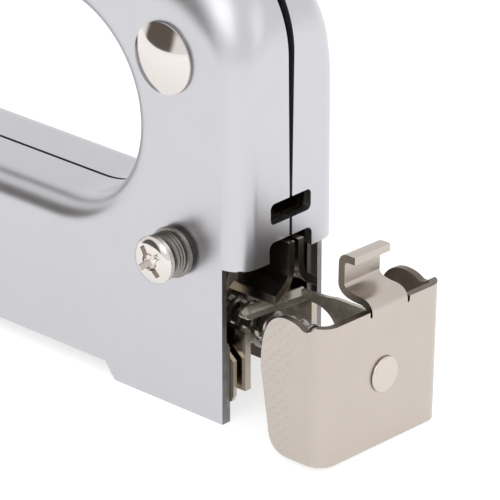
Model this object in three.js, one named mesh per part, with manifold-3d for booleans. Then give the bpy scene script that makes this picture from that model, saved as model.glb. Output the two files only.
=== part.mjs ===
// All-steel hand staple gun with its rear-loading magazine drawn part of the way out.
// Millimetres, +Z up, +X from the nose to the loading end. x = 0 is first the body's rear face,
// and the finished group is then moved so that its origin is the middle of its footprint.
import * as THREE from "three";
import { mergeVertices } from "three/addons/utils/BufferGeometryUtils.js";
import Module from "manifold-3d";

const wasm = await Module();
wasm.setup();

// ---- driving dimensions -------------------------------------------------------------------
const BODY_LENGTH = 168;
const HALF_WIDTH = 9.3;
const SHEET = 1.2;
const GAP = 0.3; // kept between pieces that touch
const EDGE_RADIUS = 3.4; // rolled edge of the shells
const TOP_EDGE_RADIUS = 8.2; // the same edge over the upper bar and the head
const EDGE_STEPS = 4;
const SEAM_LOW = 0.5; // seam between the shells below the window
const SEAM_HIGH = 1.5; // and along the upper bar
const FLANGE_END_Z = 21.4; // the rear flanges stop here
const SKIRT_X = -3.05; // rear edge of the side panels below them
const BAR_UNDERSIDE_Z = 2.2;
const HEEL_FRONT_X = -21.9;
const NOSE_REAR_X = -146;

const REAR_CORNER_RADIUS = 13.7; // the body's back turns into its top through this arc
const REAR_CORNER_Z = 48;
const OPENING_RADIUS = 13.7;
const OPENING_FLOOR_Z = 22.7;
const OPENING_REAR_CENTRE_X = -32.3;
const OPENING_FRONT_X = -121;

const WINDOW = { z0: 26.4, z1: 29.2, halfWidth: 3.7 };
const NOTCH = { top: 24.0, halfWidth: 3.9 };
const NOSE = { halfWidth: 6.3, top: 24 };

const PIVOT = { x: -122, z: 80 };
const HANDLE_REST_DEG = 22;
const HANDLE_LENGTH = 124;
const HANDLE_SHEET = 1.4;
const ARM_LENGTH = 29;
const ARM_REST_DEG = 13; // the lifting arm starts this far below level
const MAIN_SPRING = { x: -158.3, bottom: 42.3, top: 76.7 };

const CHANNEL = { stemRear: 1, wallRear: -1.5, wallTop: 15.6, notchFront: -6, notchFloor: 12.4 };
const RAIL = { halfWidth: 4.2, top: 13.9, bottom: 0.6, sheet: 0.9, front: -163.2, rear: -14 };
const ROD = { z: 10, radius: 1.6, front: -146 };
const SPRING_RADIUS = 2.7;
const CAP = {
  face: 15.5,
  halfWidth: 11.35,
  foot: 0.5,
  top: 19.1,
  sheet: 1,
  bend: 2.5,
  wingTop: 10.3,
  wingFoot: 8.7,
};
const CAP_HOOK = { left: -2.5, right: 4.1, top: 25.3 }; // set a little to the right of the middle
const CAP_ROLL_DEG = 1.6; // the cap hangs turned a little on its round rod

const REAR_SCREW = { x: -10.7, z: 21.8 };
const REAR_RIVET = { x: -12.8, z: 47.5 };
const HEAD_RIVETS = [
  { x: -133, z: 34 },
  { x: -136, z: 62 },
];

// ---- colours ------------------------------------------------------------------------------
const finish = (color, roughness, metalness) =>
  new THREE.MeshStandardMaterial({ color, roughness, metalness });
const CHROME = finish(0xd2d3d8, 0.18, 1);
const NICKEL = finish(0xcfc6bc, 0.3, 1);
const STEEL = finish(0x8c8a88, 0.45, 1);
const SPRING_STEEL = finish(0x6e6a66, 0.4, 1);
const RUBBER = finish(0x1d1d1e, 0.9, 0);

// ---- solids -------------------------------------------------------------------------------
function solid(geometry) {
  const plain = geometry.clone();
  plain.deleteAttribute("normal");
  plain.deleteAttribute("uv");
  const merged = mergeVertices(plain, 1e-4);
  const numbers = { numProp: 3, vertProperties: merged.attributes.position.array };
  return new wasm.Manifold(new wasm.Mesh({ ...numbers, triVerts: new Uint32Array(merged.index.array) }));
}

function geometryOf(manifold) {
  const mesh = manifold.getMesh();
  const geometry = new THREE.BufferGeometry();
  geometry.setAttribute("position", new THREE.BufferAttribute(mesh.vertProperties.slice(), 3));
  geometry.setIndex(new THREE.BufferAttribute(mesh.triVerts.slice(), 1));
  return geometry.toNonIndexed();
}

const cut = (base, ...tools) => tools.reduce((left, tool) => left.subtract(tool), base);
const join = (...parts) => parts.reduce((sum, part) => sum.add(part));

// A closed skin over equal rings of points, with flat ends. plane gives a ring point's flat place.
function loft(rings, plane) {
  const count = rings[0].length;
  const corners = [];
  const face = (a, b, c) => corners.push(...a.toArray(), ...b.toArray(), ...c.toArray());
  for (let k = 0; k + 1 < rings.length; k++)
    for (let i = 0; i < count; i++) {
      const j = (i + 1) % count;
      face(rings[k][i], rings[k][j], rings[k + 1][j]);
      face(rings[k][i], rings[k + 1][j], rings[k + 1][i]);
    }
  const first = rings[0];
  const last = rings[rings.length - 1];
  const triangles = (ring) => THREE.ShapeUtils.triangulateShape(ring.map(plane), []);
  for (const [a, b, c] of triangles(first)) face(first[c], first[b], first[a]);
  for (const [a, b, c] of triangles(last)) face(last[a], last[b], last[c]);
  const geometry = new THREE.BufferGeometry();
  geometry.setAttribute("position", new THREE.Float32BufferAttribute(corners, 3));
  return facingOut(geometry);
}

// Turns every face round when the skin's signed volume is negative.
function facingOut(geometry) {
  const p = geometry.attributes.position.array;
  let volume = 0;
  for (let i = 0; i < p.length; i += 9) {
    const a = new THREE.Vector3(p[i], p[i + 1], p[i + 2]);
    const b = new THREE.Vector3(p[i + 3], p[i + 4], p[i + 5]);
    const c = new THREE.Vector3(p[i + 6], p[i + 7], p[i + 8]);
    volume += a.dot(b.cross(c));
  }
  if (volume > 0) return geometry;
  for (let i = 0; i < p.length; i += 9)
    for (let k = 0; k < 3; k++) [p[i + 3 + k], p[i + 6 + k]] = [p[i + 6 + k], p[i + 3 + k]];
  return geometry;
}

function box(x0, x1, y0, y1, z0, z1) {
  const block = new THREE.BoxGeometry(x1 - x0, y1 - y0, z1 - z0);
  return solid(block.translate((x0 + x1) / 2, (y0 + y1) / 2, (z0 + z1) / 2));
}

// A side-view outline (x, z) made y0 to y1 thick.
function across(shape, y0, y1, curveSegments = 6) {
  const slab = new THREE.ExtrudeGeometry(shape, { depth: y1 - y0, bevelEnabled: false, curveSegments });
  return solid(slab.rotateX(Math.PI / 2).translate(0, y1, 0));
}

// An end-view outline (y, z) made x0 to x1 long.
function along(points, x0, x1) {
  const shape = new THREE.Shape(points.map(([y, z]) => new THREE.Vector2(y, z)));
  const bar = new THREE.ExtrudeGeometry(shape, { depth: x1 - x0, bevelEnabled: false });
  const turn = new THREE.Matrix4().makeBasis(
    new THREE.Vector3(0, 1, 0),
    new THREE.Vector3(0, 0, 1),
    new THREE.Vector3(1, 0, 0),
  );
  return solid(bar.applyMatrix4(turn).translate(x0, 0, 0));
}

const outline = (points) => new THREE.Shape(points.map(([x, z]) => new THREE.Vector2(x, z)));

// A turned piece: profile points are (radius, distance along the axis), the axis along Y or X.
function turned(profile, segments = 16) {
  const ring = profile.map(([r, y]) => new THREE.Vector2(r, y));
  return solid(facingOut(new THREE.LatheGeometry(ring, segments).toNonIndexed()));
}

const alongY = (profile, x, z, segments) => turned(profile, segments).translate([x, 0, z]);
const alongX = (profile, z, segments) =>
  turned(profile, segments).rotate([0, 0, -90]).translate([0, 0, z]);
const alongZ = (profile, x) => turned(profile).rotate([90, 0, 0]).translate([x, 0, 0]);
const drum = (radius, a, b) => [[0, a], [radius, a], [radius, b], [0, b]];
const tube = (inner, outer, a, b) => [[inner, a], [outer, a], [outer, b], [inner, b], [inner, a]];

// A bent strip of sheet: its side-view centre line, made y0 to y1 wide.
function strip(line, thickness, y0, y1) {
  const points = line.map(([x, z]) => new THREE.Vector2(x, z));
  const left = offset(points, thickness / 2, false);
  const right = offset(points, -thickness / 2, false);
  return across(new THREE.Shape([...left, ...right.reverse()]), y0, y1);
}

// Points moved sideways by a distance, which may change from point to point.
function offset(points, distance, closed = true) {
  const n = points.length;
  const side = (a, b) => new THREE.Vector2(a.y - b.y, b.x - a.x).normalize();
  return points.map((p, i) => {
    const before = closed || i > 0 ? points[(i + n - 1) % n] : null;
    const after = closed || i + 1 < n ? points[(i + 1) % n] : null;
    const m = before ? side(before, p) : side(p, after);
    const k = after ? side(p, after) : m;
    const d = typeof distance === "function" ? distance(p) : distance;
    const scale = d / Math.max(1 + m.dot(k), 0.4);
    return new THREE.Vector2(p.x + (m.x + k.x) * scale, p.y + (m.y + k.y) * scale);
  });
}

// ---- body shells --------------------------------------------------------------------------
const distinct = (points) => points.filter((p, i) => i === 0 || p.distanceTo(points[i - 1]) > 0.01);

function bodyOutline() {
  const path = new THREE.Path();
  path.moveTo(0, -12);
  path.lineTo(0, 24);
  path.lineTo(0, 36);
  path.lineTo(0, REAR_CORNER_Z);
  path.absarc(-REAR_CORNER_RADIUS, REAR_CORNER_Z, REAR_CORNER_RADIUS, 0, Math.PI / 2, false);
  path.lineTo(-55, 65.4);
  path.lineTo(-84, 68);
  path.quadraticCurveTo(-101, 69.5, -107, 80);
  path.quadraticCurveTo(-117, 96.5, -135, 96.5);
  path.quadraticCurveTo(-167.5, 96.5, -BODY_LENGTH, 66);
  path.lineTo(-BODY_LENGTH, 48);
  path.lineTo(-BODY_LENGTH, -12);
  return distinct(path.getPoints(7));
}

function openingOutline() {
  const path = new THREE.Path();
  const middle = OPENING_FLOOR_Z + OPENING_RADIUS;
  path.moveTo(OPENING_REAR_CENTRE_X, OPENING_FLOOR_Z);
  path.absarc(OPENING_REAR_CENTRE_X, middle, OPENING_RADIUS, -Math.PI / 2, Math.PI / 2, false);
  path.lineTo(-106, 53.6);
  path.quadraticCurveTo(OPENING_FRONT_X, 54, OPENING_FRONT_X, 39);
  path.quadraticCurveTo(OPENING_FRONT_X, OPENING_FLOOR_Z, -106, OPENING_FLOOR_Z);
  return distinct(path.getPoints(9));
}

function edgeRadius(p) {
  const t = THREE.MathUtils.smoothstep(p.y, 42, 62);
  return EDGE_RADIUS + (TOP_EDGE_RADIUS - EDGE_RADIUS) * t;
}

// Half a pillow: flat on the mid plane, its edge rolled over to a flat side. inward is 1 for the
// body and -1 for a hole whose mouth flares; skin is how far inside the outer surface it lies;
// overrun carries a hole's ends past the solid that it is taken from.
function rolled(points, radius, inward, skin, overrun) {
  const reach = HALF_WIDTH - skin;
  const first = offset(points, inward * skin);
  const rings = [first.map((p) => new THREE.Vector3(p.x, -overrun, p.y))];
  for (let k = 0; k <= EDGE_STEPS; k++) {
    const turn = ((Math.PI / 2) * k) / EDGE_STEPS;
    const depth = (p) => skin + (radius(p) - skin) * (1 - Math.cos(turn));
    const height = (p) => reach - (radius(p) - skin) * (1 - Math.sin(turn));
    const moved = offset(points, (p) => inward * depth(p));
    rings.push(moved.map((m, i) => new THREE.Vector3(m.x, height(points[i]), m.y)));
  }
  const last = rings[rings.length - 1];
  rings.push(last.map((p) => new THREE.Vector3(p.x, reach + overrun, p.z)));
  return solid(loft(overrun ? rings : rings.slice(0, -1), (p) => new THREE.Vector2(p.x, p.z)));
}

function shell(side) {
  const around = bodyOutline();
  const hole = openingOutline();
  const flare = () => EDGE_RADIUS;
  const outer = cut(rolled(around, edgeRadius, 1, 0, 0), rolled(hole, flare, -1, 0, 2));
  const inner = cut(rolled(around, edgeRadius, 1, SHEET, 0), rolled(hole, flare, -1, SHEET, 2));
  const underside = outline([
    [20, -20], [20, 0],
    [HEEL_FRONT_X, 0], [HEEL_FRONT_X - 0.7, 0.9], [HEEL_FRONT_X - 1.7, BAR_UNDERSIDE_Z],
    [NOSE_REAR_X, BAR_UNDERSIDE_Z], [NOSE_REAR_X - 2.5, 0],
    [-180, 0], [-180, -20],
  ]);
  const below = across(underside, -1, 20);
  const low = SEAM_LOW / 2;
  const high = SEAM_HIGH / 2;
  const seam = along([[-1, -20], [low, -20], [low, 30], [high, 62], [high, 110], [-1, 110]], -200, 10);
  const rearCut = box(SKIRT_X, 10, -1, 20, -20, FLANGE_END_Z);
  const rearNotch = box(-2.6, 10, -1, NOTCH.halfWidth, 10, NOTCH.top);
  const window = box(-2.6, 10, -1, WINDOW.halfWidth, WINDOW.z0, WINDOW.z1);
  const noseCut = box(-180, -166.3, -1, NOSE.halfWidth + GAP, -20, NOSE.top + GAP);
  const handleSlot = across(
    outline([[-131, 110], [-131, 86], [-122, 71], [-92, 62.5], [-80, 110]]), -1, 7.3);
  const bore = (radius, at) => alongY(drum(radius, 2, 20), at.x, at.z, 14);
  const fixings = [REAR_SCREW, REAR_RIVET, ...HEAD_RIVETS];
  const holes = [bore(3.2, PIVOT), ...fixings.map((at) => bore(2.5, at))];
  const half = cut(outer, inner, below, seam, rearCut, rearNotch, window, noseCut, handleSlot, ...holes);
  return side > 0 ? half : half.mirror([0, 1, 0]);
}

// ---- inner frame --------------------------------------------------------------------------
// One of the two plates that meet on the mid plane above and form the magazine channel below.
// The stem and its flare reach further back than the wall under them.
function channelPlate(side) {
  const outside = [[1.4, 23.6], [1.4, 20], [2, 18.9], [4.4, 16.9], [6.7, 15.4], [6.7, 4.25]];
  const inside = [[5.7, 4.25], [5.7, 14.9], [3.8, 16.1], [1, 18.4], [0.3, 19.8], [0.3, 23.6]];
  const profile = [...outside, ...inside];
  const plate = along(profile, NOSE_REAR_X, CHANNEL.stemRear);
  const screwHole = alongY(drum(2.5, -1, 20), REAR_SCREW.x, REAR_SCREW.z, 14);
  const underFloor = box(-200, -19, -1, 3, OPENING_FLOOR_Z - SHEET - 2 * GAP, 30);
  const behindWall = box(CHANNEL.wallRear, 10, 3, 20, 0, CHANNEL.wallTop);
  const saddleRoom = box(CHANNEL.notchFront, 10, 3.9, 20, CHANNEL.notchFloor, 20);
  const made = cut(plate, screwHole, underFloor, behindWall, saddleRoom);
  return side > 0 ? made : made.mirror([0, 1, 0]);
}

function liner(side) {
  const shape = outline([
    [-2.5, 3.6], [-2.9, 2.8], [-3.8, 2.5], [-22, 2.5], [-120, 4.4],
    [-120, 12], [-14, 12], [-4, 9.6], [-2.5, 8.4],
  ]);
  const made = across(shape, 7.2, 7.8);
  return side > 0 ? made : made.mirror([0, 1, 0]);
}

function trackRail() {
  const { halfWidth: w, top, bottom, sheet, front, rear } = RAIL;
  const outside = [[-w, bottom], [-w, top], [w, top], [w, bottom]];
  const v = w - sheet;
  const inside = [[v, bottom], [v, top - sheet], [-v, top - sheet], [-v, bottom]];
  const channel = [...outside, ...inside];
  return cut(along(channel, front, rear), box(-160, rear + 1, -1.3, 1.3, top - 2, top + 1));
}

const nosePlate = () => box(-BODY_LENGTH, -166.6, -NOSE.halfWidth, NOSE.halfWidth, 0, NOSE.top);
const latchPlate = () => box(-5.2, -4.2, -6.4, 6.4, 25, 40);
const bumper = () => box(-164.4, -147, -7, 7, 17, 24.4);
const springSeat = () => box(-162.6, -152, -5, 5, 77, 78.2);

// ---- striking parts -----------------------------------------------------------------------
const driverBlade = () => box(-166.1, -165.1, -5.2, 5.2, 1, 41);
function plunger() {
  const block = box(-164.2, -149.4, -6.2, 6.2, 25, 49);
  const strap = box(-149.4, -147.6, -3.9, 3.9, 25, 79.4);
  const armWindow = box(-155, -145, -2.2, 2.2, 69, 77.8);
  const springBore = alongZ(drum(6.5, MAIN_SPRING.bottom - 0.3, 82), MAIN_SPRING.x);
  return cut(join(block, strap), armWindow, springBore);
}
const mainSpring = () => alongZ(tube(4.4, 6.2, MAIN_SPRING.bottom, MAIN_SPRING.top), MAIN_SPRING.x);

// ---- handle -------------------------------------------------------------------------------
// An inverted channel: narrow where it enters the head, full width where the palm rests on it.
function handleLever() {
  const stations = [
    [-9, 6.6, 8, -6], [-4, 6.6, 8.5, -7.5], [12, 6.6, 8, -7], [22, 7, 8, -6], [34, 9.4, 8, -6],
    [60, 9.6, 8.6, -6], [HANDLE_LENGTH - 26, 9.6, 8, -6], [HANDLE_LENGTH - 8, 9.3, 6, -6.6],
    [HANDLE_LENGTH, 8.4, 3.4, -6.6],
  ];
  // One side of the sheet: half width, top and foot, moved inwards by shrink.
  const ring = (u, w, top, foot, shrink) => {
    const half = w - shrink;
    const lid = top - shrink;
    const r = 4.6 - shrink;
    const arc = [0, 1, 2, 3].map((k) => (Math.PI / 6) * k);
    const right = arc.map((a) => [half - r + r * Math.cos(a), lid - r + r * Math.sin(a)]);
    const left = [...right].reverse().map(([y, v]) => [-y, v]);
    return [[half, foot], ...right, ...left, [-half, foot]].map(([y, v]) => new THREE.Vector3(u, y, v));
  };
  const rings = stations.map(([u, w, top, foot]) => [
    ...ring(u, w, top, foot, 0),
    ...ring(u, w, top, foot, HANDLE_SHEET).reverse(),
  ]);
  const channel = solid(loft(rings, (p) => new THREE.Vector2(p.y, p.z)));
  const pinHole = alongY(drum(3.2, -20, 20), 0, 0, 14);
  return cut(channel, pinHole);
}

function liftingArm() {
  const tip = -ARM_LENGTH;
  const shape = outline([
    [4, 3.6], [-4, 3.8], [tip + 3, 2.8], [tip, 1.6], [tip, -1.6], [tip + 3, -2.8], [-4, -5.4], [4, -5],
  ]);
  return cut(across(shape, -1.5, 1.5), alongY(drum(3.2, -5, 5), 0, 0, 14));
}

function pivotPin() {
  const end = [[2.9, 9.5], [4, 9.6], [2.6, 10.1], [0, 10.3]];
  return alongY([...end.map(([r, y]) => [r, -y]).reverse(), ...end], PIVOT.x, PIVOT.z);
}
const returnSpring = () => alongY(tube(3.3, 4.8, 1.9, 4.9), PIVOT.x, PIVOT.z, 14);

// ---- fasteners ----------------------------------------------------------------------------
// A rivet through both shells, with a low dome outside each.
function domedRivet(at, headRadius = 4.9) {
  const seat = HALF_WIDTH + GAP;
  const dome = [[headRadius, seat], [headRadius * 0.86, seat + 0.55], [headRadius * 0.5, seat + 1]];
  const half = [[2.2, seat], ...dome, [0, seat + 1.15]];
  const profile = [...half.map(([r, y]) => [r, -y]).reverse(), ...half];
  return alongY(profile, at.x, at.z, 20);
}

// A pan-head screw across the body, its head and a threaded collar on the left, a nut on the right.
function rearScrew() {
  const head = [[0, -14], [2.5, -13.8], [3.1, -13.1], [3.1, -11.9], [2, -11.7]];
  const shank = alongY([...head, [2, 13.6], [0, 14]], REAR_SCREW.x, REAR_SCREW.z);
  const slotA = box(-2.2, 2.2, -15, -13.2, -0.45, 0.45);
  const slotB = box(-0.45, 0.45, -15, -13.2, -2.2, 2.2);
  return cut(shank, join(slotA, slotB).translate([REAR_SCREW.x, 0, REAR_SCREW.z]));
}
const screwCollar = () => alongY(tube(2.2, 3.25, -11.6, -9.5), REAR_SCREW.x, REAR_SCREW.z, 16);
const screwNut = () => alongY(tube(2.6, 3.9, 9.6, 12.4), REAR_SCREW.x, REAR_SCREW.z, 6);

// ---- magazine -----------------------------------------------------------------------------
function magazineCap() {
  const { face, halfWidth: w, top, sheet, bend } = CAP;
  const plan = (grow) => {
    const shape = new THREE.Shape();
    shape.moveTo(0, -w + grow);
    shape.lineTo(face - bend, -w + grow);
    shape.absarc(face - bend, -w + bend, bend - grow, -Math.PI / 2, 0, false);
    shape.absarc(face - bend, w - bend, bend - grow, 0, Math.PI / 2, false);
    shape.lineTo(0, w - grow);
    const tall = { depth: 30, bevelEnabled: false, curveSegments: 5 };
    return solid(new THREE.ExtrudeGeometry(shape, tall).translate(0, 0, -5));
  };
  const side = new THREE.Shape();
  side.moveTo(face + 1, CAP.foot);
  side.lineTo(face - CAP.wingFoot + 3, CAP.foot);
  side.quadraticCurveTo(face - CAP.wingFoot, CAP.foot, face - CAP.wingFoot - 0.1, 3.4);
  side.lineTo(face - CAP.wingTop, 12);
  side.quadraticCurveTo(face - CAP.wingTop + 0.4, 19, face - 5, 19);
  side.quadraticCurveTo(face - 3, 19, face - 2, top - 0.5);
  side.lineTo(face + 1, top - 0.2);
  const wrap = cut(plan(0), plan(sheet));
  const bendRoom = box(0, 20, CAP_HOOK.left, CAP_HOOK.right, top - 1.5, 40);
  const sides = cut(wrap.intersect(across(side, -20, 20)), bendRoom);
  const f = face - sheet / 2;
  const lip = CAP_HOOK.top - sheet / 2;
  const hookLine = [
    [f, top - 3], [f, top - 0.6], [f - 0.5, top + 0.3], [f - 1.5, top + 0.8],
    [11.2, top + 0.9], [10.5, top + 1.5], [10.3, top + 2.5], [10.3, lip - 0.8], [10.8, lip], [12.3, lip],
  ];
  const hook = strip(hookLine, sheet, CAP_HOOK.left, CAP_HOOK.right);
  const rivetHole = alongX(drum(1.9, 0, 30), ROD.z, 12);
  return cut(join(sides, hook), rivetHole);
}

function capRivet() {
  const seat = CAP.face + 0.05 + GAP;
  const shank = [[0, 13.4], [1.6, 13.4], [1.6, seat]];
  return alongX([...shank, [2.35, seat], [2.2, CAP.face + 0.75], [0, CAP.face + 0.8]], ROD.z);
}
const pusherRod = () => alongX(drum(ROD.radius, ROD.front, 13.1), ROD.z, 12);
const rodStop = () => alongX(tube(ROD.radius + GAP, 2.8, ROD.front, ROD.front + 1.4), ROD.z, 12);

// Sheet saddle inside the cap: a plate held by the rivet, one arm along the right side, and a
// cross bar at the arm's end that lies over the spring.
function capSaddle() {
  const plate = box(12.9, 13.9, -6, 5.3, 4, 15.2);
  const arm = new THREE.Shape();
  arm.moveTo(13.4, 15.2);
  arm.lineTo(3.5, 15.2);
  arm.quadraticCurveTo(1.5, 14.6, -2.6, 14.6);
  arm.lineTo(-2.6, 12.9);
  arm.lineTo(0, 13.2);
  arm.quadraticCurveTo(3.4, 13.2, 4.2, 9.5);
  arm.lineTo(13.4, 6);
  const barPlan = outline([[-3.9, -5.3], [-3, -5.3], [-1.7, 5.3], [-2.6, 5.3]]);
  const barShape = new THREE.ExtrudeGeometry(barPlan, { depth: 1.7, bevelEnabled: false });
  const bar = solid(barShape.translate(0, 0, 12.9));
  const rodHole = alongX(drum(ROD.radius + GAP, -20, 30), ROD.z, 12);
  return cut(join(plate, across(arm, 4.5, 5.3), bar), rodHole);
}

function pusher() {
  const front = ROD.front + 2;
  const rear = front + 12;
  const outside = [[-5.2, 6], [-5.2, 15], [5.2, 15], [5.2, 6]];
  const inside = [[4.5, 6], [4.5, 14.2], [-4.5, 14.2], [-4.5, 6]];
  const saddle = along([...outside, ...inside], front, rear);
  const web = box(front, rear, -0.9, 0.9, 10, 14.6);
  const sleeve = alongX(drum(2.8, front, rear), ROD.z, 12);
  return cut(join(saddle, web, sleeve), alongX(drum(ROD.radius + 0.15, -200, 20), ROD.z, 12));
}
const pusherSpring = () =>
  alongX(tube(ROD.radius + GAP, SPRING_RADIUS, ROD.front + 14.4, 12.5), ROD.z, 12);

// ---- assembly -----------------------------------------------------------------------------
const group = new THREE.Group();
group.position.x = (BODY_LENGTH - CAP.face - 0.8) / 2;

function add(name, manifold, material, parent = group) {
  const mesh = new THREE.Mesh(geometryOf(manifold), material);
  mesh.name = name;
  parent.add(mesh);
}

for (const [word, side] of [["left", -1], ["right", 1]]) {
  add(`${word}_shell`, shell(side), CHROME);
  add(`${word}_channel_plate`, channelPlate(side), NICKEL);
  add(`${word}_liner`, liner(side), NICKEL);
}
add("track_rail", trackRail(), STEEL);
add("nose_plate", nosePlate(), STEEL);
add("latch_plate", latchPlate(), NICKEL);
add("bumper", bumper(), RUBBER);
add("spring_seat", springSeat(), STEEL);
add("main_spring", mainSpring(), SPRING_STEEL);
add("plunger", plunger(), STEEL);
add("driver_blade", driverBlade(), STEEL);

const handle = new THREE.Group();
handle.position.set(PIVOT.x, 0, PIVOT.z);
handle.rotation.y = THREE.MathUtils.degToRad(-HANDLE_REST_DEG);
group.add(handle);
add("handle_lever", handleLever(), CHROME, handle);
const arm = new THREE.Group();
arm.position.copy(handle.position);
arm.rotation.y = THREE.MathUtils.degToRad(-ARM_REST_DEG);
group.add(arm);
add("lifting_arm", liftingArm(), STEEL, arm);
add("pivot_pin", pivotPin(), NICKEL);
add("return_spring", returnSpring(), SPRING_STEEL);

add("rear_rivet", domedRivet(REAR_RIVET), NICKEL);
HEAD_RIVETS.forEach((at, i) => add(`head_rivet_${i + 1}`, domedRivet(at, 4.2), NICKEL));
add("rear_screw", rearScrew(), NICKEL);
add("screw_collar", screwCollar(), NICKEL);
add("screw_nut", screwNut(), NICKEL);

const capFrame = new THREE.Group();
capFrame.position.z = ROD.z;
capFrame.rotation.x = THREE.MathUtils.degToRad(-CAP_ROLL_DEG);
group.add(capFrame);
add("magazine_cap", magazineCap().translate([0, 0, -ROD.z]), NICKEL, capFrame);
add("cap_rivet", capRivet().translate([0, 0, -ROD.z]), NICKEL, capFrame);
add("cap_saddle", capSaddle(), NICKEL);
add("pusher_rod", pusherRod(), NICKEL);
add("rod_stop", rodStop(), NICKEL);
add("pusher", pusher(), STEEL);
add("pusher_spring", pusherSpring(), SPRING_STEEL);

export default group;
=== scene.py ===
"""Staple gun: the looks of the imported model, seen close up at its loading end.

Lengths below are in millimetres, measured from the middle of the body's rear face at floor level
(+X away from the nose, -Y to the gun's left side, +Z up), and become metres in piece().
"""

import math

import bmesh
import bpy
from mathutils import Matrix, Vector


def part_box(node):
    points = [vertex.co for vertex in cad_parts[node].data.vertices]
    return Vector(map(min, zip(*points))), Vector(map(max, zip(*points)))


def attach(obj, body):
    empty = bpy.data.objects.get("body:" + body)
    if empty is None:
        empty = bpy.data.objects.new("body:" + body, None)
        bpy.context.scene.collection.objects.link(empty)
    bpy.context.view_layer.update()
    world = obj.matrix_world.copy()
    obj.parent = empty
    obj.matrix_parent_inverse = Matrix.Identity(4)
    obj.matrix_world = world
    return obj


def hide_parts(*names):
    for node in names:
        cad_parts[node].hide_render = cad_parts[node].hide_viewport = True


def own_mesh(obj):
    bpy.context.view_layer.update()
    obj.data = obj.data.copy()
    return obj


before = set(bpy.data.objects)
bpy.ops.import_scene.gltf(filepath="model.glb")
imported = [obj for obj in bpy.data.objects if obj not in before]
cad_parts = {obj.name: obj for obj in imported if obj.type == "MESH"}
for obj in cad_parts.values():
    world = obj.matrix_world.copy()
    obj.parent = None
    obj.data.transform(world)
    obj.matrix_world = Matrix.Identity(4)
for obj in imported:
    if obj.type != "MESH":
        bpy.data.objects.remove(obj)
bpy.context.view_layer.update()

MM = 0.001
REAR_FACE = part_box("left_shell")[1][0] / MM

# ---- driving dimensions, the same as the solid model's -------------------------------------
BODY_LENGTH = 168
HALF_WIDTH = 9.3
SHEET = 1.2
EDGE_RADIUS = 3.4
TOP_EDGE_RADIUS = 8.2
EDGE_STEPS = 14
ARC_STEPS = 28
SEAM_LOW = 0.5
SEAM_HIGH = 1.5
FLANGE_END_Z = 21.4
SKIRT_X = -3.05
BAR_UNDERSIDE_Z = 2.2
HEEL_FRONT_X = -21.9
NOSE_REAR_X = -146
REAR_CORNER_RADIUS = 13.7
REAR_CORNER_Z = 48
OPENING_RADIUS = 13.7
OPENING_FLOOR_Z = 22.7
OPENING_REAR_CENTRE_X = -32.3
OPENING_FRONT_X = -121
WINDOW_Z = (26.4, 29.2)
WINDOW_HALF_WIDTH = 3.7
NOTCH_TOP = 24.0
NOTCH_HALF_WIDTH = 3.9
NOSE_HALF_WIDTH = 6.3
NOSE_TOP = 24
CHANNEL_STEM_REAR = 1
CHANNEL_WALL_REAR = -1.5
CHANNEL_NOTCH_FRONT = -6
CHANNEL_NOTCH_FLOOR = 12.4
PIVOT = (-122, 80)
REAR_SCREW = (-10.7, 21.8)
REAR_RIVET = (-12.5, 47.0)
REAR_RIVET_RADIUS = 4.7
HEAD_RIVETS = [(-133, 34), (-136, 62)]
HEAD_RIVET_RADIUS = 4.2
HANDLE_REST_DEG = 22
HANDLE_LENGTH = 124
HANDLE_SHEET = 1.4
ROD_Z = 10
CAP_FACE = 15.5
CAP_HALF_WIDTH = 11.35
CAP_SHEET = 1
CAP_BEND = 2.5
CAP_FOOT = 0.5
CAP_TOP = 19.1
CAP_ROLL_DEG = 1.6
HOOK_LEFT = -2.5
HOOK_RIGHT = 4.1
HOOK_TOP = 25.3
SHEAR_TOP_Z = 10.9  # the side panels' rear edge is thicker below this
SHEAR_DEPTH = 1.4
SPRING_RADIUS = 2.7
SPRING_WIRE = 0.75
SPRING_TURNS = 74
STRIKER_X = -158.3
MAIN_SPRING_RADIUS = 5.3
MAIN_SPRING_WIRE = 1.8
MAIN_SPRING_TURNS = 11

# ---- camera --------------------------------------------------------------------------------
CAMERA_AZIMUTH = math.radians(42.6)
CAMERA_ELEVATION = math.radians(24.4)
CAMERA_DISTANCE = 500
VIEW_WIDTH = 63.3
AIM_RIGHT = -5.06
AIM_UP = 20.0


def add_camera():
    """Looks at the loading end from the rear left, from far off through a long lens."""
    a, e = CAMERA_AZIMUTH, CAMERA_ELEVATION
    back = Vector((math.sin(a) * math.cos(e), -math.cos(a) * math.cos(e), math.sin(e)))
    right = Vector((math.cos(a), math.sin(a), 0))
    up = back.cross(right)
    aim = Vector((REAR_FACE, 0, 0)) + AIM_RIGHT * right + AIM_UP * up
    data = bpy.data.cameras.new("camera")
    data.sensor_width = 36
    data.lens = 36 * CAMERA_DISTANCE / VIEW_WIDTH
    data.clip_start = 0.01
    data.clip_end = 20
    camera = bpy.data.objects.new("camera", data)
    turn = Matrix((right, up, back)).transposed().to_4x4()
    camera.matrix_world = Matrix.Translation((aim + CAMERA_DISTANCE * back) * MM) @ turn
    bpy.context.scene.collection.objects.link(camera)
    bpy.context.scene.camera = camera


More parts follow.
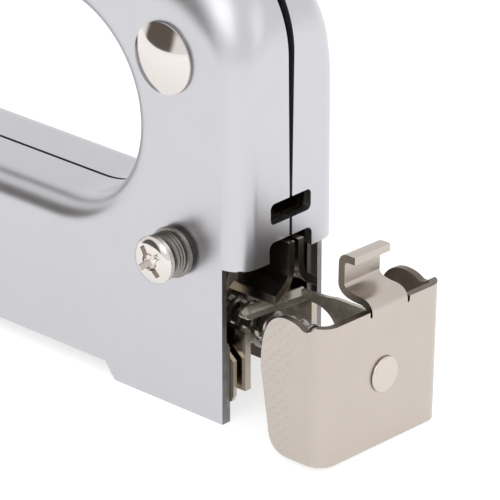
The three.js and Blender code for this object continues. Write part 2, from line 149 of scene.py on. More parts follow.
# ---- materials -----------------------------------------------------------------------------
class Nodes:
    """A material's node tree, with short ways to add nodes and join them."""

    def __init__(self, name):
        self.material = bpy.data.materials.new(name)
        self.material.use_nodes = True
        self.tree = self.material.node_tree
        self.shader = self.tree.nodes["Principled BSDF"]
        self.coordinates = self.add("ShaderNodeTexCoord").outputs["Object"]

    def add(self, kind, **settings):
        node = self.tree.nodes.new(kind)
        for key, value in settings.items():
            setattr(node, key, value)
        return node

    def join(self, output, socket):
        self.tree.links.new(output, socket)

    def stretched(self, scale):
        mapping = self.add("ShaderNodeMapping")
        mapping.inputs["Scale"].default_value = scale
        self.join(self.coordinates, mapping.inputs["Vector"])
        return mapping.outputs["Vector"]

    def noise(self, scale, stretch=(1, 1, 1), detail=4):
        node = self.add("ShaderNodeTexNoise")
        node.inputs["Scale"].default_value = scale
        node.inputs["Detail"].default_value = detail
        self.join(self.stretched(stretch), node.inputs["Vector"])
        return node.outputs["Fac"]

    def span(self, value, low, high):
        node = self.add("ShaderNodeMapRange")
        node.inputs["To Min"].default_value = low
        node.inputs["To Max"].default_value = high
        self.join(value, node.inputs["Value"])
        return node.outputs["Result"]

    def step(self, value, start, end):
        """0 up to start, 1 from end on, and smooth between."""
        node = self.add("ShaderNodeMapRange", interpolation_type="SMOOTHSTEP")
        node.inputs["From Min"].default_value = start
        node.inputs["From Max"].default_value = end
        self.join(value, node.inputs["Value"])
        return node.outputs["Result"]

    def times(self, first, second):
        node = self.add("ShaderNodeMath", operation="MULTIPLY")
        self.join(first, node.inputs[0])
        self.join(second, node.inputs[1])
        return node.outputs["Value"]

    def blend(self, factor, first, second):
        node = self.add("ShaderNodeMix", data_type="RGBA")
        node.inputs["A"].default_value = (*first, 1)
        node.inputs["B"].default_value = (*second, 1)
        self.join(factor, node.inputs["Factor"])
        return node.outputs["Result"]

    def bump(self, height, distance, strength=1.0, over=None):
        node = self.add("ShaderNodeBump")
        node.inputs["Distance"].default_value = distance * MM
        node.inputs["Strength"].default_value = strength
        self.join(height, node.inputs["Height"])
        if over:
            self.join(over, node.inputs["Normal"])
        return node.outputs["Normal"]


def metal(name, light, dark, roughness, brush=(1, 1, 1), grain=0.01, mottle=180):
    """A plated or bare metal: its tone drifts a little, and fine lines or grain break its shine."""
    n = Nodes(name)
    n.shader.inputs["Metallic"].default_value = 1
    n.join(n.blend(n.noise(mottle), dark, light), n.shader.inputs["Base Color"])
    n.join(n.span(n.noise(mottle * 3, brush), *roughness), n.shader.inputs["Roughness"])
    n.join(n.bump(n.noise(2500, brush), grain, 0.35), n.shader.inputs["Normal"])
    return n


def grip_metal(name, light, dark, roughness):
    """Plated sheet whose side wings are embossed outside with staggered rows of small dimples."""
    n = metal(name, light, dark, roughness)
    split = n.add("ShaderNodeSeparateXYZ")
    n.join(n.coordinates, split.inputs["Vector"])
    turn = n.add("ShaderNodeMapping")
    turn.inputs["Rotation"].default_value = (0, math.radians(45), 0)
    turn.inputs["Scale"].default_value = (1, 0, 1)
    n.join(n.coordinates, turn.inputs["Vector"])
    dimples = n.add("ShaderNodeTexVoronoi", feature="F1")
    dimples.inputs["Scale"].default_value = 1000
    dimples.inputs["Randomness"].default_value = 0.15
    n.join(turn.outputs["Vector"], dimples.inputs["Vector"])
    height = n.step(dimples.outputs["Distance"], 0.05, 0.42)
    across_wing = n.add("ShaderNodeMath", operation="ABSOLUTE")
    n.join(split.outputs["Y"], across_wing.inputs[0])
    outside = n.step(across_wing.outputs["Value"], 10.75 * MM, 10.85 * MM)
    wing = n.step(split.outputs["X"], (REAR_FACE + 12.6) * MM, (REAR_FACE + 9.5) * MM)
    height = n.times(n.times(height, outside), wing)
    under = n.shader.inputs["Normal"].links[0].from_socket
    n.join(n.bump(height, 0.1, 0.6, under), n.shader.inputs["Normal"])
    return n


def rubber(name):
    """Dull black rubber with a fine grain."""
    n = Nodes(name)
    tone = n.blend(n.noise(400), (0.012, 0.012, 0.013), (0.03, 0.03, 0.032))
    n.join(tone, n.shader.inputs["Base Color"])
    n.shader.inputs["Roughness"].default_value = 0.75
    n.join(n.bump(n.noise(1500), 0.03), n.shader.inputs["Normal"])
    return n


def make_materials():
    """All finishes by short name: light and dark tone, range of roughness, then grain."""
    even, lengthwise, level = (1, 1, 1), (1, 0.1, 1), (1, 1, 0.03)
    made = {
        "chrome": metal("polished_chrome", (0.57, 0.57, 0.595), (0.55, 0.55, 0.575), (0.3, 0.36),
                        level, 0.002),
        "nickel": metal("nickel_plate", (0.63, 0.575, 0.52), (0.57, 0.515, 0.46), (0.2, 0.3),
                        even, 0.002),
        "cap": grip_metal("embossed_nickel", (0.54, 0.485, 0.44), (0.495, 0.445, 0.40), (0.26, 0.36)),
        "bright": metal("bright_nickel", (0.72, 0.68, 0.65), (0.68, 0.64, 0.61), (0.06, 0.1),
                        even, 0.001),
        "steel": metal("hardened_steel", (0.42, 0.41, 0.40), (0.30, 0.29, 0.28), (0.3, 0.5),
                       lengthwise),
        "spring": metal("spring_wire", (0.34, 0.32, 0.30), (0.22, 0.205, 0.19), (0.22, 0.35),
                        even, 0.004),
        # Very dark tone for the shells' inner faces: painted shade inside the body.
        "shade_inside": metal("painted_shade_inside", (0.10, 0.085, 0.07), (0.05, 0.042, 0.035), (0.3, 0.5)),
        "inner": metal("inner_nickel", (0.52, 0.47, 0.41), (0.36, 0.31, 0.25), (0.14, 0.24),
                       (1, 1, 0.3), 0.004),
        "satin": metal("satin_nickel", (0.50, 0.465, 0.41), (0.37, 0.33, 0.28), (0.22, 0.32),
                       even, 0.004),
        # Dark brown for the cap: raw cut edges, and painted shade on its inner faces.
        "edge_and_shade": metal("cut_edge_and_painted_shade", (0.20, 0.165, 0.135), (0.09, 0.075, 0.06), (0.25, 0.45),
                      even, 0.01, 500),
        "sheared": metal("sheared_edge", (0.30, 0.30, 0.30), (0.13, 0.12, 0.12), (0.3, 0.5),
                         (0.2, 0.2, 3), 0.03, 900),
        "rubber": rubber("bumper_rubber"),
    }
    made["satin"].shader.inputs["Metallic"].default_value = 0.7
    return {key: nodes.material for key, nodes in made.items()}


# ---- mesh helpers --------------------------------------------------------------------------
def mesh_from(points, faces):
    """A mesh with its faces turned outwards."""
    mesh = bpy.data.meshes.new("mesh")
    mesh.from_pydata(points, [], faces)
    work = bmesh.new()
    work.from_mesh(mesh)
    bmesh.ops.remove_doubles(work, verts=work.verts, dist=1e-5)
    bmesh.ops.recalc_face_normals(work, faces=work.faces)
    work.to_mesh(mesh)
    work.free()
    return mesh


def loft(rings, looped=False):
    """A skin over equal rings of points, its ends closed unless the last ring meets the first."""
    count = len(rings[0])
    points = [p for ring in rings for p in ring]
    faces = []
    for k in range(len(rings) if looped else len(rings) - 1):
        below, above = k * count, ((k + 1) % len(rings)) * count
        for i in range(count):
            j = (i + 1) % count
            faces.append((below + i, below + j, above + j, above + i))
    if not looped:
        faces.append(tuple(range(count)))
        faces.append(tuple(range(len(points) - count, len(points))))
    return mesh_from(points, faces)


def across(outline, y0, y1):
    """A side-view outline of (x, z) points, made y0 to y1 thick."""
    return loft([[(x, y, z) for x, z in outline] for y in (y0, y1)])


def along(outline, x0, x1):
    """An end-view outline of (y, z) points, made x0 to x1 long."""
    return loft([[(x, y, z) for y, z in outline] for x in (x0, x1)])


def upright(outline, z0, z1):
    """A plan outline of (x, y) points, made z0 to z1 high."""
    return loft([[(x, y, z) for x, y in outline] for z in (z0, z1)])


def turned_y(profile, at, segments=64):
    """A profile of (radius, y) points turned about the Y axis at a side-view place."""
    rings = []
    for radius, y in profile:
        angles = [2 * math.pi * k / segments for k in range(segments)]
        rings.append([(at[0] + radius * math.cos(a), y, at[1] + radius * math.sin(a)) for a in angles])
    return loft(rings)


def turned_x(profile, z, segments=48):
    """A profile of (radius, x) points turned about the X axis at height z."""
    rings = []
    for radius, x in profile:
        angles = [2 * math.pi * k / segments for k in range(segments)]
        rings.append([(x, radius * math.cos(a), z + radius * math.sin(a)) for a in angles])
    return loft(rings)


def arc(centre, radius, start, end, steps=ARC_STEPS):
    """Points on an arc, its angles in degrees."""
    angles = [math.radians(start + (end - start) * k / steps) for k in range(steps + 1)]
    return [(centre[0] + radius * math.cos(a), centre[1] + radius * math.sin(a)) for a in angles]


def curve(start, control, end, steps=ARC_STEPS):
    """Points on a quadratic curve."""
    points = []
    for k in range(steps + 1):
        t = k / steps
        w = ((1 - t) ** 2, 2 * t * (1 - t), t * t)
        points.append(tuple(w[0] * start[i] + w[1] * control[i] + w[2] * end[i] for i in range(2)))
    return points


def line(start, end, steps=1):
    return [tuple(start[i] + (end[i] - start[i]) * k / steps for i in range(2)) for k in range(steps + 1)]


def joined(*stretches):
    """One outline from several, with repeated points dropped."""
    points = []
    for p in (q for stretch in stretches for q in stretch):
        if not points or math.dist(p, points[-1]) > 0.01:
            points.append(p)
    if math.dist(points[0], points[-1]) <= 0.01:
        points.pop()
    return points


def offset(points, distances, closed=True):
    """Points moved to the left of their path, each by its own distance."""
    n = len(points)
    moved = []

    def side(a, b):
        return Vector((a[1] - b[1], b[0] - a[0])).normalized()

    for i, p in enumerate(points):
        before = side(points[i - 1], p) if closed or i else side(p, points[i + 1])
        after = side(p, points[(i + 1) % n]) if closed or i + 1 < n else before
        scale = distances[i] / max(1 + before.dot(after), 0.4)
        moved.append((p[0] + (before.x + after.x) * scale, p[1] + (before.y + after.y) * scale))
    return moved


def strip(centre_line, thickness, y0, y1):
    """A bent strip of sheet from its side-view centre line."""
    count = len(centre_line)
    left = offset(centre_line, [thickness / 2] * count, closed=False)
    right = offset(centre_line, [-thickness / 2] * count, closed=False)
    return across(left + right[::-1], y0, y1)


def rounded_box(x0, x1, y0, y1, r, steps=6):
    """Outline of a rectangle with round corners."""
    corners = [((x1 - r, y1 - r), 0), ((x0 + r, y1 - r), 90),
               ((x0 + r, y0 + r), 180), ((x1 - r, y0 + r), 270)]
    return joined(*[arc(c, r, a, a + 90, steps) for c, a in corners])


def combine(mesh, operation, *tools):
    """The mesh after cutting, joining or keeping what it shares with each tool."""
    for tool in tools:
        base = bpy.data.objects.new("base", mesh)
        other = bpy.data.objects.new("tool", tool)
        for o in (base, other):
            bpy.context.scene.collection.objects.link(o)
        step = base.modifiers.new("step", "BOOLEAN")
        step.operation = operation
        step.solver = "EXACT"
        step.object = other
        bpy.context.view_layer.update()
        evaluated = base.evaluated_get(bpy.context.evaluated_depsgraph_get())
        result = bpy.data.meshes.new_from_object(evaluated)
        for o in (base, other):
            bpy.data.objects.remove(o)
        mesh = result
    return mesh


def cut(mesh, *tools):
    return combine(mesh, "DIFFERENCE", *tools)


def join(mesh, *tools):
    return combine(mesh, "UNION", *tools)


def mirrored(mesh):
    """A copy on the other side of the mid plane."""
    copy = mesh.copy()
    copy.transform(Matrix.Diagonal((1, -1, 1, 1)))
    copy.flip_normals()
    return copy


def soften(obj, bevel, segments=2, angle=32):
    """Smooth faces, and a small round on the sharp edges."""
    mesh = obj.data
    mesh.polygons.foreach_set("use_smooth", [True] * len(mesh.polygons))
    mesh.set_sharp_from_angle(angle=math.radians(angle))
    if bevel:
        edge = obj.modifiers.new("edge", "BEVEL")
        edge.width = bevel * MM
        edge.segments = segments
        edge.limit_method = "ANGLE"
        edge.angle_limit = math.radians(angle)
        edge.use_clamp_overlap = True
        edge.harden_normals = False
    weight = obj.modifiers.new("normals", "WEIGHTED_NORMAL")
    weight.keep_sharp = True
    weight.weight = 80


def piece(name, mesh, material, body, nodes=(), bevel=0.12):
    """A finished piece: moved to the row frame, in metres, on its body, in place of its nodes."""
    mesh.transform(Matrix.Scale(MM, 4) @ Matrix.Translation((REAR_FACE, 0, 0)))
    mesh.name = name
    if material:
        mesh.materials.clear()
        mesh.materials.append(material)
    obj = bpy.data.objects.new(name, mesh)
    bpy.context.scene.collection.objects.link(obj)
    soften(obj, bevel)
    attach(obj, body)
    if nodes:
        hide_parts(*nodes)
    return obj


# ---- body shells ---------------------------------------------------------------------------
def body_outline():
    """Side view of the body, run on below the floor so that its underside can be cut flat."""
    return joined(
        line((0, -12), (0, REAR_CORNER_Z), 30),
        arc((-REAR_CORNER_RADIUS, REAR_CORNER_Z), REAR_CORNER_RADIUS, 0, 90),
        line((-REAR_CORNER_RADIUS, REAR_CORNER_Z + REAR_CORNER_RADIUS), (-55, 65.4), 10),
        line((-55, 65.4), (-84, 68), 6),
        curve((-84, 68), (-101, 69.5), (-107, 80)),
        curve((-107, 80), (-117, 96.5), (-135, 96.5)),
        curve((-135, 96.5), (-167.5, 96.5), (-BODY_LENGTH, 66)),
        line((-BODY_LENGTH, 66), (-BODY_LENGTH, -12), 20),
    )


def opening_outline():
    """Side view of the finger opening."""
    centre = (OPENING_REAR_CENTRE_X, OPENING_FLOOR_Z + OPENING_RADIUS)
    top = (OPENING_REAR_CENTRE_X, OPENING_FLOOR_Z + 2 * OPENING_RADIUS)
    return joined(
        arc(centre, OPENING_RADIUS, -90, 90, 2 * ARC_STEPS),
        line(top, (-106, 53.6)),
        curve((-106, 53.6), (OPENING_FRONT_X, 54), (OPENING_FRONT_X, 39)),
        curve((OPENING_FRONT_X, 39), (OPENING_FRONT_X, OPENING_FLOOR_Z), (-106, OPENING_FLOOR_Z)),
    )


def edge_radius(point):
    """The rolled edge widens smoothly towards the body's top."""
    t = min(max((point[1] - 42) / 20, 0), 1)
    return EDGE_RADIUS + (TOP_EDGE_RADIUS - EDGE_RADIUS) * t * t * (3 - 2 * t)


def rolled(points, radii, inward, skin, overrun):
    """Half a pillow on the mid plane, its edge rolled over to a flat side."""
    reach = HALF_WIDTH - skin
    rings = []
    if overrun:
        rings.append([(x, -overrun, z) for x, z in offset(points, [inward * skin] * len(points))])
    for k in range(EDGE_STEPS + 1):
        turn = math.pi / 2 * k / EDGE_STEPS
        depths = [inward * (skin + (r - skin) * (1 - math.cos(turn))) for r in radii]
        heights = [reach - (r - skin) * (1 - math.sin(turn)) for r in radii]
        if k == 0 and not overrun:
            rings.append([(x, 0, z) for x, z in offset(points, depths)])
        rings.append([(x, y, z) for (x, z), y in zip(offset(points, depths), heights)])
    if overrun:
        rings.append([(x, reach + overrun, z) for x, y, z in rings[-1]])
    return loft(rings)


def sheared_edge(half):
    """Thins the side panel's rear edge above SHEAR_TOP_Z and thickens it below, on the inner face."""
    top = SHEAR_TOP_Z
    inside = HALF_WIDTH - SHEET
    front = SKIRT_X - SHEAR_DEPTH
    thin = [(front, top), (1, top), (1, FLANGE_END_Z + 0.1), (front, FLANGE_END_Z + 0.1)]
    thick = [(front, 0), (SKIRT_X, 0), (SKIRT_X, top - 0.6), (SKIRT_X - 0.6, top), (front, top)]
    half = cut(half, across(thin, inside - 0.1, inside + 0.35))
    return join(half, across(thick, inside - 0.25, inside + 0.2))


def shell_mesh(materials):
    """The right shell; the left is its mirror image."""
    around, hole = body_outline(), opening_outline()
    edge = [edge_radius(p) for p in around]
    flare = [EDGE_RADIUS] * len(hole)
    outer = cut(rolled(around, edge, 1, 0, 0), rolled(hole, flare, -1, 0, 2))
    inner = cut(rolled(around, edge, 1, SHEET, 0), rolled(hole, flare, -1, SHEET, 2))
    # The outer skin takes chrome; the inner skin takes the very dark tone, painted shade inside the body.
    for mesh, slot in ((outer, 0), (inner, 1)):
        mesh.materials.clear()
        mesh.materials.append(materials["chrome"])
        mesh.materials.append(materials["shade_inside"])
        mesh.materials.append(materials["sheared"])
        mesh.polygons.foreach_set("material_index", [slot] * len(mesh.polygons))
    heel = curve((HEEL_FRONT_X, 0), (HEEL_FRONT_X - 0.85, BAR_UNDERSIDE_Z / 2),
                 (HEEL_FRONT_X - 1.7, BAR_UNDERSIDE_Z), 6)
    below = [(20, -20), (20, 0), *heel, (NOSE_REAR_X, BAR_UNDERSIDE_Z), (NOSE_REAR_X - 2.5, 0),
             (-180, 0), (-180, -20)]
    seam = [(-1, -20), (SEAM_LOW / 2, -20), (SEAM_LOW / 2, 30), (SEAM_HIGH / 2, 62),
            (SEAM_HIGH / 2, 110), (-1, 110)]
    nose_side, nose_top = NOSE_HALF_WIDTH + 0.3, NOSE_TOP + 0.3
    nose_slot = [(-1, -20), (nose_side, -20), (nose_side, nose_top), (-1, nose_top)]
    handle_slot = [(-131, 110), (-131, 86), (-122, 71), (-92, 62.5), (-80, 110)]
    tools = [
        across(below, -1, 20),
        along(seam, -200, 10),
        across([(SKIRT_X, -20), (10, -20), (10, FLANGE_END_Z), (SKIRT_X, FLANGE_END_Z)], -1, 20),
        along(rounded_box(-3, NOTCH_HALF_WIDTH, 10, NOTCH_TOP, 0.9), -2.6, 10),
        along(rounded_box(-3, WINDOW_HALF_WIDTH, *WINDOW_Z, 0.7), -2.6, 10),
        along(nose_slot, -180, -166.3),
        across(handle_slot, -1, 7.3),
        turned_y([(3.2, 2), (3.2, 20)], PIVOT),
    ]
    tools += [turned_y([(2.5, 2), (2.5, 20)], at) for at in (REAR_SCREW, REAR_RIVET, *HEAD_RIVETS)]
    half = sheared_edge(cut(outer, inner, *tools))
    for polygon in half.polygons:
        near_edge = abs(polygon.center.x - SKIRT_X) < 0.5 and polygon.center.z < FLANGE_END_Z
        if polygon.normal.x > 0.5 and near_edge:
            polygon.material_index = 2
    return half


# ---- inner frame ---------------------------------------------------------------------------
def channel_mesh():
    """The right channel plate: a stem on the mid plane, a flare, and the wall below it."""
    centre_line = joined(
        line((0.85, 23.6), (0.85, 20.2)),
        curve((0.85, 20.2), (0.85, 18.8), (1.9, 18.0), 8),
        line((1.9, 18.0), (4.6, 16.1)),
        curve((4.6, 16.1), (6.2, 15.2), (6.2, 13.6), 10),
        line((6.2, 13.6), (6.2, 4.3)),
    )
    count = len(centre_line)
    outside = offset(centre_line, [0.5] * count, closed=False)
    inside = offset(centre_line, [-0.5] * count, closed=False)
    plate = along(outside + inside[::-1], NOSE_REAR_X, CHANNEL_STEM_REAR)
    behind_wall = [(3.9, 0), (20, 0), (20, 17.6), (3.9, 17.6)]
    saddle_room = rounded_box(3.9, 20, CHANNEL_NOTCH_FLOOR, 30, 1)
    stem_top = OPENING_FLOOR_Z - SHEET - 0.6
    under_floor = [(-1, stem_top), (3, stem_top), (3, 30), (-1, 30)]
    return cut(plate, turned_y([(2.5, -1), (2.5, 20)], REAR_SCREW),
               along(behind_wall, CHANNEL_WALL_REAR, 10), along(saddle_room, CHANNEL_NOTCH_FRONT, 10),
               along(under_floor, -200, -19))


# ---- fasteners -----------------------------------------------------------------------------
def dome(seat, head_radius, height, steps=12):
    """Profile of a low domed head with a rolled rim, from its rim to its crown."""
    rim = [(head_radius - 0.25, seat), (head_radius, seat + 0.2), (head_radius - 0.05, seat + 0.4)]
    crown = height - 0.4
    outward = [1 - k / steps for k in range(1, steps + 1)]
    return rim + [((head_radius - 0.05) * t, seat + 0.4 + crown * (1 - t * t)) for t in outward]


def rivet_mesh(at, head_radius):
    """A rivet through the body, with the same domed head on both sides."""
    half = [(2.2, HALF_WIDTH + 0.05)] + dome(HALF_WIDTH + 0.05, head_radius, 1.8)
    half[-1] = (0.01, half[-1][1])
    return turned_y([(r, -y) for r, y in half[::-1]] + half, at)


def screw_mesh():
    """Pan head with a cross recess, and the shank that runs through to the nut."""
    profile = [(0.01, -14.3), (1.3, -14.25), (2.3, -14.1), (2.85, -13.85), (3.1, -13.5), (3.1, -12.9),
               (2.85, -12.6), (2.6, -12.4), (2, -12.3), (2, 13.7), (1.7, 14), (0.01, 14)]
    head = turned_y(profile, REAR_SCREW)
    wing = [(-0.42, -2.2), (0.42, -2.2), (0.42, 2.2), (-0.42, 2.2)]
    x, z = REAR_SCREW
    cross = [across([(x + a * c - b * s, z + a * s + b * c) for a, b in wing], -15, -13.1)
             for c, s in ((math.cos(t), math.sin(t)) for t in (math.radians(38), math.radians(128)))]
    cone = turned_y([(1.25, -15), (1.1, -13.6), (0.2, -12.6)], REAR_SCREW, 24)
    return cut(head, *cross, cone)


def collar_mesh():
    """Threaded collar between the screw head and the side panel, with a wider flange."""
    profile = [(2.2, -12.2)]
    for k in range(3):
        y = -12.1 + 0.5 * k
        profile += [(2.75, y), (3.0, y + 0.15), (3.0, y + 0.3), (2.75, y + 0.45)]
    profile += [(3.3, -10.5), (3.35, -10.3), (3.3, -9.9), (2.7, -9.7), (2.7, -9.4), (2.2, -9.4)]
    count = 48
    x, z = REAR_SCREW
    rings = []
    for k in range(count):
        a = 2 * math.pi * k / count
        rings.append([(x + r * math.cos(a), y, z + r * math.sin(a)) for r, y in profile])
    return loft(rings, looped=True)


# ---- magazine end --------------------------------------------------------------------------
def cap_plan(grow):
    """Plan outline of the cap's wrap, open towards the body."""
    w = CAP_HALF_WIDTH
    inner = CAP_FACE - CAP_BEND
    r = CAP_BEND - grow
    return joined(
        line((-1, -w + grow), (inner, -w + grow)),
        arc((inner, -w + CAP_BEND), r, -90, 0, 12),
        arc((inner, w - CAP_BEND), r, 0, 90, 12),
        line((inner, w - grow), (-1, w - grow)),
    )


def cap_side():
    """Side outline that the wings are trimmed to."""
    f = CAP_FACE
    return joined(
        [(f + 1, CAP_FOOT)],
        curve((f - 5.4, CAP_FOOT), (f - 8.5, CAP_FOOT), (f - 8.8, 3.6), 16),
        curve((f - 10.2, 11.5), (f - 10.4, 19), (f - 6.2, 19), 20),
        curve((f - 6.2, 19), (f - 4.6, 19), (f - 3.6, 18.3), 8),
        curve((f - 3.6, 18.3), (f - 2.8, 17.9), (f - 1.6, CAP_TOP), 8),
        [(f + 1, CAP_TOP)],
    )


def rolled_cap(mesh):
    """The cap hangs turned a little on its round rod."""
    axis = Vector((0, 0, ROD_Z))
    roll = Matrix.Rotation(math.radians(-CAP_ROLL_DEG), 4, "X")
    mesh.transform(Matrix.Translation(axis) @ roll @ Matrix.Translation(-axis))
    return mesh


def hook_line():
    """Side-view centre line of the hook: off the plate's top, a shelf inwards, a neck and a lip."""
    f = CAP_FACE - CAP_SHEET / 2
    neck = 10.3
    lip = HOOK_TOP - CAP_SHEET / 2
    return joined(
        line((f, CAP_TOP - 3), (f, CAP_TOP - 0.5)),
        curve((f, CAP_TOP - 0.5), (f, CAP_TOP + 0.8), (f - 1.7, CAP_TOP + 0.85), 14),
        curve((f - 1.7, CAP_TOP + 0.85), (neck, CAP_TOP + 0.9), (neck, CAP_TOP + 2.4), 14),
        line((neck, CAP_TOP + 2.4), (neck, lip - 0.9)),
        curve((neck, lip - 0.9), (neck, lip), (neck + 0.9, lip), 12),
        line((neck + 0.9, lip), (neck + 2.1, lip)),
    )


def cap_mesh(materials):
    """The cap with its hook; its cut edges take a dark raw-edge tone, and its inner faces the same dark
    tone as painted shade.
    """
    wrap = cut(upright(cap_plan(0), -2, 24), upright(cap_plan(CAP_SHEET), -5, 30))
    wrap = combine(wrap, "INTERSECT", across(cap_side(), -20, 20))
    relief = rounded_box(HOOK_LEFT - 0.4, HOOK_RIGHT + 0.4, CAP_TOP - 0.8, 30, 0.3)
    wrap = cut(wrap, along(relief, 12, 20))
    hook = strip(hook_line(), CAP_SHEET, HOOK_LEFT, HOOK_RIGHT)
    rivet_hole = turned_x([(1.9, 0), (1.9, 30)], ROD_Z)
    made = cut(join(wrap, hook), rivet_hole)
    made.materials.clear()
    made.materials.append(materials["cap"])
    made.materials.append(materials["edge_and_shade"])
    for polygon in made.polygons:
        (x, y, z), normal = polygon.center, polygon.normal
        top_edge = normal.z > 0.3 and 15 < z < CAP_TOP + 0.1
        hook_side = abs(normal.y) > 0.95 and z > CAP_TOP - 1.5 and abs(y) < 5
        wing_end = normal.x < -0.5 and abs(y) > 9.5
        # Inner faces of the wings and front plate: painted shade.
        inside = normal.y * y < -5 or (normal.x < -0.5 and x > 13 and z < CAP_TOP)
        polygon.material_index = int(top_edge or hook_side or wing_end or inside)
    return rolled_cap(made)


def cap_rivet_mesh():
    """Low rivet that holds the cap and the saddle to the rod."""
    f = CAP_FACE
    profile = [(0.01, 13.4), (1.6, 13.4), (1.6, f - 0.2), (2.2, f - 0.02), (2.4, f + 0.15),
               (2.32, f + 0.32), (2.05, f + 0.4), (0.9, f + 0.34), (0.01, f + 0.32)]
    return rolled_cap(turned_x(profile, ROD_Z))


def saddle_bar():
    """Cross bar with a rolled crown, from its free tapered end on the left to the saddle's arm."""
    start, length = -5.3, 10.2
    middle = 13.75
    steps = 40
    rings = []
    for k in range(steps + 1):
        t = k / steps
        y = start + length * t
        x = -3.9 + 1.3 * t
        tip = math.sqrt(max(1 - max(1 - t / 0.12, 0) ** 2, 0.02))
        top, foot = middle + 0.85 * tip, middle - (0.85 + 0.1 * t) * tip
        crown = arc((x + 0.2, top - 0.3), 0.3, 180, 45, 5)
        lean = (top - foot) * 0.45
        back = [(x + 1.05, top - lean), (x + 1.15, foot + 0.2), (x + 0.9, foot)]
        rings.append([(px, y, pz) for px, pz in [(x - 0.1, foot)] + crown + back])
    return loft(rings)


def saddle_mesh():
    """Sheet saddle inside the cap: plate under the rivet, one arm, and a cross bar over the spring."""
    plate = across([(12.9, 4), (13.9, 4), (13.9, 15.2), (12.9, 15.2)], -6, 5.3)
    side = joined(
        [(13.4, 15.0), (3.5, 14.9)],
        curve((3.5, 14.9), (1.5, 14.4), (-2.6, 14.4), 12),
        [(-2.6, 13.2), (0, 13.2)],
        curve((0, 13.2), (3.8, 13.0), (4.4, 8.6), 14),
        [(13.4, 6)],
    )
    arm = across(side, 4.4, 5.0)
    return cut(join(arm, plate, saddle_bar()), turned_x([(1.9, -20), (1.9, 30)], ROD_Z))


def coil_mesh(start, end, turns, radius, wire, place, close_turns=0):
    """Round wire wound about an axis, its ends close-wound; place(distance, a, b) gives a point."""
    steps_per_turn, sides = 24, 8
    tight = 0.8  # share of the pitch that the close-wound turns lose
    edge = close_turns / turns
    steps = int(turns * steps_per_turn)
    rings = []
    for k in range(steps + 1):
        t = k / steps
        angle = 2 * math.pi * turns * t
        wound = t - tight * min(t, edge) - tight * max(t - (1 - edge), 0)
        run = start + (end - start) * wound / (1 - 2 * tight * edge)
        ring = []
        for m in range(sides):
            b = 2 * math.pi * m / sides
            out = radius + wire / 2 * math.cos(b)
            ring.append(place(run + wire / 2 * math.sin(b), out * math.cos(angle), out * math.sin(angle)))
        rings.append(ring)
    return loft(rings)


# ---- handle --------------------------------------------------------------------------------
def handle_mesh():
    """Inverted channel: narrow inside the head, full width under the palm, lower at its tail."""
    # distance from the pivot, half width, top, foot
    stations = [(-9, 6.6, 8, -6), (-4, 6.6, 8.5, -7.5), (12, 6.6, 8, -7), (22, 7, 8, -6), (34, 9.4, 8, -6),
                (60, 9.6, 8.6, -6), (98, 9.6, 8, -6), (116, 9.3, 6, -6.6), (124, 8.4, 3.4, -6.6)]

    def at(u):
        for a, b in zip(stations, stations[1:]):
            if u <= b[0]:
                t = (u - a[0]) / (b[0] - a[0])
                t = t * t * (3 - 2 * t)
                return [a[i] + (b[i] - a[i]) * t for i in (1, 2, 3)]
        return stations[-1][1:]

    def ring(u, grow):
        w, top, foot = at(u)
        r = 4.6 - grow
        right = arc((w - grow - r, top - grow - r), r, 0, 90, 8)
        left = [(-y, v) for y, v in right[::-1]]
        return [(u, y, v) for y, v in [(w - grow, foot), *right, *left, (grow - w, foot)]]

    steps = 60
    start = stations[0][0]
    places = [start + (HANDLE_LENGTH - start) * k / steps for k in range(steps + 1)]
    channel = loft([ring(u, 0) + ring(u, HANDLE_SHEET)[::-1] for u in places])
    lever = cut(channel, turned_y([(3.2, -20), (3.2, 20)], (0, 0)))
    tilt = Matrix.Rotation(math.radians(-HANDLE_REST_DEG), 4, "Y")
    lever.transform(Matrix.Translation((PIVOT[0], 0, PIVOT[1])) @ tilt)
    return lever


# ---- assembly ------------------------------------------------------------------------------
def build(materials):
    """Every finished piece in place of its CAD node."""
    chrome, nickel, bright = materials["chrome"], materials["nickel"], materials["bright"]
    right = shell_mesh(materials)
    left = mirrored(right)
    piece("left_shell_fine", left, None, "body", ["left_shell"], 0.1)
    piece("right_shell_fine", right, None, "body", ["right_shell"], 0.1)
    channel = channel_mesh()
    for side, mesh in (("left", mirrored(channel)), ("right", channel)):
        piece(f"{side}_channel_plate_fine", mesh, materials["inner"], "body",
              [f"{side}_channel_plate"], 0.25)
    piece("rear_rivet_fine", rivet_mesh(REAR_RIVET, REAR_RIVET_RADIUS), bright, "body",
          ["rear_rivet"], 0)
    for k, at in enumerate(HEAD_RIVETS):
        name = f"head_rivet_{k + 1}"
        piece(f"{name}_fine", rivet_mesh(at, HEAD_RIVET_RADIUS), bright, "body", [name], 0)
    piece("rear_screw_fine", screw_mesh(), bright, "body", ["rear_screw"], 0.08)
    piece("screw_collar_fine", collar_mesh(), materials["spring"], "body", ["screw_collar"], 0)
    piece("magazine_cap_fine", cap_mesh(materials), None, "magazine", ["magazine_cap"], 0.16)
    piece("cap_rivet_fine", cap_rivet_mesh(), nickel, "magazine", ["cap_rivet"], 0.05)
    piece("cap_saddle_fine", saddle_mesh(), materials["satin"], "magazine", ["cap_saddle"], 0.08)
    coil = coil_mesh(-131.3, 12.4, SPRING_TURNS, SPRING_RADIUS - SPRING_WIRE / 2, SPRING_WIRE,
                     lambda x, a, b: (x, a, ROD_Z + b), 3)
    follower = piece("pusher_spring_coil", coil, materials["spring"], "magazine",
                     ["pusher_spring"], 0)
    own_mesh(follower)
    main = coil_mesh(43.2, 75.9, MAIN_SPRING_TURNS, MAIN_SPRING_RADIUS, MAIN_SPRING_WIRE,
                     lambda z, a, b: (STRIKER_X + a, b, z), 1)
    power = piece("main_spring_coil", main, materials["spring"], "body", ["main_spring"], 0)
    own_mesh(power)
    piece("handle_lever_fine", handle_mesh(), chrome, "handle", ["handle_lever"], 0.15)


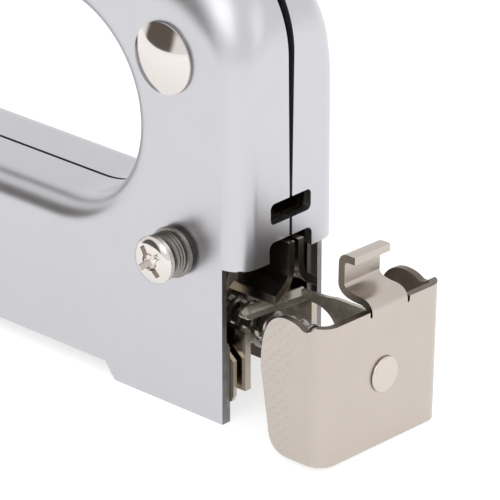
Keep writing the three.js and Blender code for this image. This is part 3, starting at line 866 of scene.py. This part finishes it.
def dress_nodes(materials):
    """The CAD nodes that stay: edges rounded, and a material each."""
    finishes = {
        "left_liner": "inner", "right_liner": "inner", "latch_plate": "inner", "pusher_rod": "nickel",
        "rod_stop": "nickel", "pivot_pin": "bright", "screw_nut": "nickel", "track_rail": "steel",
        "nose_plate": "steel", "bumper": "rubber", "spring_seat": "steel", "plunger": "steel",
        "driver_blade": "steel", "lifting_arm": "steel", "return_spring": "spring", "pusher": "steel",
    }
    for node, finish in finishes.items():
        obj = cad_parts[node]
        obj.data.materials.clear()
        obj.data.materials.append(materials[finish])
        soften(obj, 0.12)


# ---- stage ---------------------------------------------------------------------------------
def add_light(name, place, aim, size, power):
    """A soft rectangular light, places in millimetres from the rear face."""
    data = bpy.data.lights.new(name, "AREA")
    data.shape = "RECTANGLE"
    data.size, data.size_y = size[0] * MM, size[1] * MM
    data.energy = power
    light = bpy.data.objects.new(name, data)
    where = Vector(place)
    turn = (Vector(aim) - where).to_track_quat("-Z", "Y").to_matrix().to_4x4()
    light.matrix_world = Matrix.Translation((where + Vector((REAR_FACE, 0, 0))) * MM) @ turn
    bpy.context.scene.collection.objects.link(light)


def add_floor():
    """Plain pale floor with its top at z = 0, partly self-lit so that it stays even."""
    floor = upright([(-3, -3), (3, -3), (3, 3), (-3, 3)], -0.01, 0)
    n = Nodes("pale_floor")
    n.join(n.blend(n.noise(3), (0.5, 0.5, 0.5), (0.52, 0.52, 0.52)), n.shader.inputs["Base Color"])
    n.shader.inputs["Roughness"].default_value = 0.9
    n.shader.inputs["Emission Color"].default_value = (1, 1, 1, 1)
    n.shader.inputs["Emission Strength"].default_value = 0.72
    floor.materials.append(n.material)
    ground = bpy.data.objects.new("floor", floor)
    bpy.context.scene.collection.objects.link(ground)


# The white room is dark on the camera's left.
DARK_SIDE = Vector((-0.61, -0.78, 0.14)).normalized()
DARK_SIDE_EDGE = (0.81, 0.91)  # the dark fades in between these cosines from its middle


def add_world():
    """White room with one dark side, which the plated faces mirror."""
    world = bpy.data.worlds.new("studio")
    world.use_nodes = True
    tree = world.node_tree
    back = tree.nodes["Background"]
    place = tree.nodes.new("ShaderNodeTexCoord")
    toward = tree.nodes.new("ShaderNodeVectorMath")
    toward.operation = "DOT_PRODUCT"
    toward.inputs[1].default_value = DARK_SIDE
    tree.links.new(place.outputs["Generated"], toward.inputs[0])
    edge = tree.nodes.new("ShaderNodeMapRange")
    edge.interpolation_type = "SMOOTHSTEP"
    edge.inputs["From Min"].default_value = DARK_SIDE_EDGE[0]
    edge.inputs["From Max"].default_value = DARK_SIDE_EDGE[1]
    tree.links.new(toward.outputs["Value"], edge.inputs["Value"])
    mix = tree.nodes.new("ShaderNodeMix")
    mix.data_type = "RGBA"
    mix.inputs["A"].default_value = (1.0, 1.0, 1.0, 1)
    mix.inputs["B"].default_value = (0.14, 0.12, 0.105, 1)
    tree.links.new(edge.outputs["Result"], mix.inputs["Factor"])
    tree.links.new(mix.outputs["Result"], back.inputs["Color"])
    back.inputs["Strength"].default_value = 1.0
    bpy.context.scene.world = world


def add_stage():
    add_floor()
    add_world()
    add_light("key", (150, -450, 420), (0, 0, 20), (350, 350), 0.45)
    add_light("rear", (450, 100, 250), (0, 0, 20), (250, 300), 0.1)
    bpy.context.scene.view_settings.view_transform = "Standard"


add_camera()
finishes = make_materials()
build(finishes)
dress_nodes(finishes)
add_stage()
